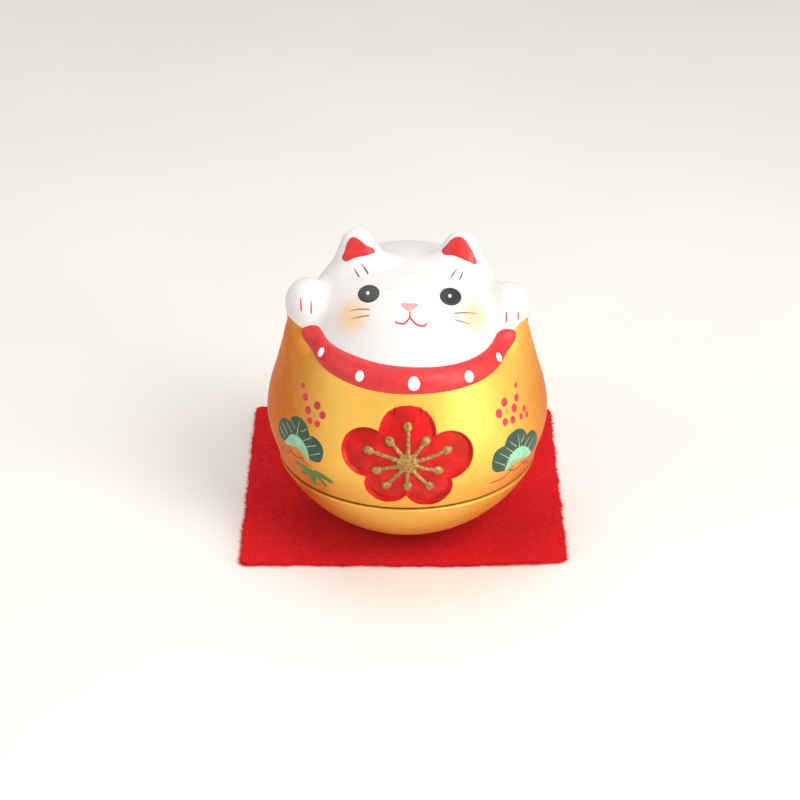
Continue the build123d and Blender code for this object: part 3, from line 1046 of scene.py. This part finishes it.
class DOLL_OT_pine_sprigs(bpy.types.Operator):
    """Paint the pine fans, their mint feet, tan veins and red twigs, and the bamboo leaves"""

    bl_idname = "doll.pine_sprigs"
    bl_label = "Pine and Bamboo Sprigs"

    def execute(self, context):
        colours, rise, surface = paint_box(context)
        layers = (
            ("pine_fans", "pine_green", colours.pine, 0.0, patch, LEFT_FANS, RIGHT_FANS),
            ("pine_feet", "mint", colours.moon, 0.05, patch, [LEFT_MOON], [RIGHT_MOON]),
            ("pine_veins", "vein_tan", colours.vein, 0.09, stroke, LEFT_VEINS, RIGHT_VEINS),
            ("pine_twigs", "twig_red", colours.twig, 0.01, stroke, LEFT_TWIGS, RIGHT_TWIGS),
            ("bamboo_leaves", "bamboo_green", colours.bamboo, 0.02, patch, BAMBOO, []),
        )
        for name, paint_name, tint, lift, make, left, right in layers:
            laid = []
            for side, shapes in ((LEFT_TURN, left), (RIGHT_TURN, right)):
                for shape in shapes:
                    if make is stroke and len(shape[0]) == 2:
                        shape = [(*shape[0], 0.12), (*shape[1], 0.3)]
                    part = make(name, shape, rise * 0.8)
                    lay_on(part, surface, side, SPRIG_HEIGHT, lift=lift)
                    if make is patch:
                        thicken(part, 0.05)
                    laid.append(part)
            doll_piece(name, laid, brush_paint(paint_name, tuple(tint)))
        return {"FINISHED"}


class DOLL_OT_base(bpy.types.Operator):
    """Finish the weighted base, the seam's adhesive, made dark to paint the seam's shadow, and the ballast"""

    bl_idname = "doll.base"
    bl_label = "Base and Ballast"

    def execute(self, context):
        finishes = {
            "base_bowl": bowl_paint(context.scene.doll_colours),
            # The adhesive's dark brown is partly its own colour and partly the painted shadow in the seam
            "seam_bond": grainy("seam_adhesive_and_shadow", 800, (0.05, 0.025, 0.01), (0.12, 0.06, 0.02), 0.8, 0.1,
                                detail=3),
            "ballast_slug": grainy("cast_iron", 1400, (0.05, 0.045, 0.045), (0.16, 0.15, 0.15), 0.62, 0.25,
                                   detail=5, grit=0.65, low=0.35, metallic=0.8),
            "ballast_plaster": grainy("cast_plaster", 1100, (0.74, 0.72, 0.67), (0.86, 0.84, 0.80), 0.9, 0.15),
        }
        for node, material in finishes.items():
            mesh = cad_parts[node].data
            mesh.materials.clear()
            mesh.materials.append(material)
        return {"FINISHED"}


class DOLL_OT_felt_mat(bpy.types.Operator):
    """Cut the felt mat, with its hand-cut edges, slight waves and loose fibres"""

    bl_idname = "doll.felt_mat"
    bl_label = "Felt Mat"

    def execute(self, context):
        sizes = context.scene.doll_sizes
        middle = (MAT_LOW + MAT_HIGH) / 2
        side = MAT_HIGH.x - MAT_LOW.x
        clear_selection()
        bpy.ops.mesh.primitive_grid_add(
            x_subdivisions=170, y_subdivisions=170, size=side, location=(middle.x, middle.y, MAT_HIGH.z)
        )
        bpy.ops.object.transform_apply(location=True)
        felt = name_piece("felt")
        points = points_of(felt)
        centre = np.array([middle.x, middle.y]) / MM
        half = side / MM / 2
        cut_edges(points, centre, half)
        ruffle(points, sizes.mat_wave / MM)
        place_points(felt, points)
        thicken(felt, (MAT_HIGH.z - MAT_LOW.z) / MM * 0.97)
        fabric = felt_fabric(tuple(context.scene.doll_colours.felt))
        settle(felt, "mat", fabric)
        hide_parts("felt_mat")
        nap = loose_fibres("felt_nap", points, half, centre, sizes.nap_length / MM)
        settle(nap, "mat", fabric)
        return {"FINISHED"}


def cut_edges(points, centre, half):
    """Round the square's corners, ripple its edges and bow its front edge, as scissors leave it."""
    local = (points[:, :2] - centre) / half
    rounded = round_corners(local, 0.05)
    edge = np.max(abs(local), axis=1) ** 6
    angle = np.arctan2(local[:, 1], local[:, 0])
    ripple = 0.14 * np.sin(angle * 19 + 1) + 0.10 * np.sin(angle * 43 + 2) + 0.06 * np.sin(angle * 97)
    bow = 0.35 * np.sin((local[:, 0] + 0.3) * 2.2) - 1.5 * np.clip(local[:, 0], 0, 1) ** 2
    outward = rounded / np.maximum(np.linalg.norm(rounded, axis=1), 1e-6)[:, None]
    points[:, :2] = centre + rounded * half + outward * (edge * (ripple - 0.35))[:, None]
    points[:, 1] += -edge * bow * (local[:, 1] < 0)


def ruffle(points, height):
    """Lift the felt in low waves and small tufts, except where the doll presses it flat."""
    x, y = points[:, 0], points[:, 1]
    free = np.clip((np.hypot(x, y) - 16) / 14, 0, 1)
    wave = np.sin(x * 0.13 + 0.4) * np.sin(y * 0.11) + 0.5 * np.sin(x * 0.21 + y * 0.17)
    tuft = np.sin(x * 7.3 + 3 * np.sin(y * 2.1)) * np.sin(y * 6.7 + 2 * np.sin(x * 1.9))
    points[:, 2] += free * np.clip(wave, 0, 1.5) * height
    points[:, 2] += 0.03 * tuft * free


def round_corners(local, share):
    """Draw the corners of a unit square in, by a share of its half side."""
    limit = 1 - share
    corner = np.maximum(abs(local) - limit, 0)
    both = (corner[:, 0] > 0) & (corner[:, 1] > 0)
    reach = np.linalg.norm(corner, axis=1)
    widest = np.maximum(np.max(corner, axis=1), 1e-9)
    scale = np.where(both, widest / np.maximum(reach, 1e-9), 1.0)
    return np.sign(local) * (np.minimum(abs(local), limit) + corner * scale[:, None])


def loose_fibres(name, top, half, centre, length):
    """Fine bent fibres over the felt and along its cut edges: each one is a thin three-sided thread."""
    random = np.random.default_rng(7)
    inner = top[random.integers(0, len(top), FACE_FIBRES)]
    local = np.max(abs(top[:, :2] - centre), axis=1)
    rim = top[local > half - RIM_WIDTH]
    edge = rim[random.integers(0, len(rim), RIM_FIBRES)]
    roots = np.vstack([inner, edge])
    roots = roots[np.linalg.norm(roots[:, :2], axis=1) > BARE_RADIUS]
    count = len(roots)
    heading = random.uniform(0, 2 * math.pi, count)
    outward = np.arctan2(roots[:, 1] - centre[1], roots[:, 0] - centre[0])
    at_rim = np.max(abs(roots[:, :2] - centre), axis=1) > half - RIM_WIDTH
    heading = np.where(at_rim, outward + random.normal(0, 0.8, count), heading)
    reach = length * random.uniform(0.5, 1.3, count)
    climb = np.where(at_rim, random.uniform(-0.25, 0.3, count), random.uniform(0.1, 0.4, count))
    bend = random.uniform(-1.0, 1.0, count)
    roots[:, 2] -= np.where(at_rim, random.uniform(0.05, 0.8, count), 0.05)
    rings = []
    for share, thick in ((0.0, 0.05), (0.5, 0.045), (1.0, 0.012)):
        turned = heading + bend * share
        slope = np.stack([np.cos(turned), np.sin(turned), climb * (1 - 0.5 * share)], 1)
        spine = roots + slope * (reach * share)[:, None]
        spine[:, 2] = np.maximum(spine[:, 2], 0.06)
        side = np.stack([-np.sin(turned), np.cos(turned), 0 * turned], 1)
        rings.append(np.stack([spine + side * thick, spine - side * thick, spine + [0, 0, 1.5 * thick]], 1))
    points = np.stack(rings, 1).reshape(-1, 3)
    faces = []
    for fibre in range(count):
        first = fibre * 9
        for ring in (0, 3):
            for corner in range(3):
                here = first + ring + corner
                there = first + ring + (corner + 1) % 3
                faces.append((here, there, there + 3, here + 3))
        faces.append((first + 2, first + 1, first))
        faces.append((first + 6, first + 7, first + 8))
    mesh = bpy.data.meshes.new(name)
    mesh.from_pydata((points * MM).tolist(), [], faces)
    piece = bpy.data.objects.new(name, mesh)
    bpy.context.collection.objects.link(piece)
    return piece


class DOLL_OT_stage(bpy.types.Operator):
    """Set the pale floor, the soft lights and the camera"""

    bl_idname = "doll.stage"
    bl_label = "Stage"

    def execute(self, context):
        clear_selection()
        bpy.ops.mesh.primitive_plane_add(size=3.0, location=(0, 0.4, -0.0002))
        floor = name_piece("floor")
        bpy.ops.object.transform_apply(location=True)
        mix = Finish("pale_floor")
        cloud = mix.noise(6, detail=3)
        tint = tuple(context.scene.doll_colours.backdrop)
        floor.data.materials.append(mix.finish(mix.mottle(cloud, shade(tint, 0.97), shade(tint, 1.02)), 0.75))

        world = context.scene.world or bpy.data.worlds.new("Studio")
        context.scene.world = world
        world.use_nodes = True
        background = world.node_tree.nodes["Background"]
        background.inputs["Color"].default_value = (1.0, 0.985, 0.965, 1)
        background.inputs["Strength"].default_value = 0.46

        for name, place, width, power, tint in LAMPS:
            lamp(name, place, width, power, tint)

        bpy.ops.object.camera_add(
            location=[value * MM for value in CAMERA_PLACE], rotation=(math.radians(CAMERA_PITCH), 0, 0)
        )
        camera = bpy.context.object
        camera.data.lens = CAMERA_LENS
        camera.data.sensor_width = 36.0
        camera.data.clip_start = 0.01
        context.scene.camera = camera
        context.scene.view_settings.view_transform = "Standard"
        return {"FINISHED"}


def lamp(name, place, width, power, tint):
    """A soft square light that looks at the doll's middle."""
    clear_selection()
    bpy.ops.object.light_add(type="AREA", location=place)
    light = bpy.context.object
    light.name = name
    light.data.size = width
    light.data.energy = power
    light.data.color = tint
    light.rotation_euler = (LAMP_TARGET - Vector(place)).to_track_quat("-Z", "Y").to_euler()


class DOLL_PT_panel(bpy.types.Panel):
    """Steps and settings of the doll"""

    bl_idname = "DOLL_PT_panel"
    bl_label = "Doll"
    bl_space_type = "VIEW_3D"
    bl_region_type = "UI"
    bl_category = "Doll"

    def draw(self, context):
        for operator in OPERATORS:
            self.layout.operator(operator.bl_idname)
        for group in (context.scene.doll_sizes, context.scene.doll_colours):
            box = self.layout.box()
            for key in group.bl_rna.properties.keys():
                if key not in {"rna_type", "name"}:
                    box.prop(group, key)


OPERATORS = (
    DOLL_OT_figure, DOLL_OT_collar, DOLL_OT_relief, DOLL_OT_face, DOLL_OT_ears_and_claws, DOLL_OT_plum_sprigs,
    DOLL_OT_pine_sprigs, DOLL_OT_base, DOLL_OT_felt_mat, DOLL_OT_stage,
)
CLASSES = (DollSizes, DollColours, *OPERATORS, DOLL_PT_panel)


def register():
    """Register the classes and put the settings on the scene."""
    for item in CLASSES:
        bpy.utils.register_class(item)
    bpy.types.Scene.doll_sizes = bpy.props.PointerProperty(type=DollSizes)
    bpy.types.Scene.doll_colours = bpy.props.PointerProperty(type=DollColours)


def unregister():
    """Take the settings and the classes away again."""
    del bpy.types.Scene.doll_colours
    del bpy.types.Scene.doll_sizes
    for item in reversed(CLASSES):
        bpy.utils.unregister_class(item)


def main():
    """Build every piece in order."""
    register()
    bpy.ops.doll.figure()
    bpy.ops.doll.collar()
    bpy.ops.doll.relief()
    bpy.ops.doll.face()
    bpy.ops.doll.ears_and_claws()
    bpy.ops.doll.plum_sprigs()
    bpy.ops.doll.pine_sprigs()
    bpy.ops.doll.base()
    bpy.ops.doll.felt_mat()
    bpy.ops.doll.stage()


if __name__ == "__main__":
    main()
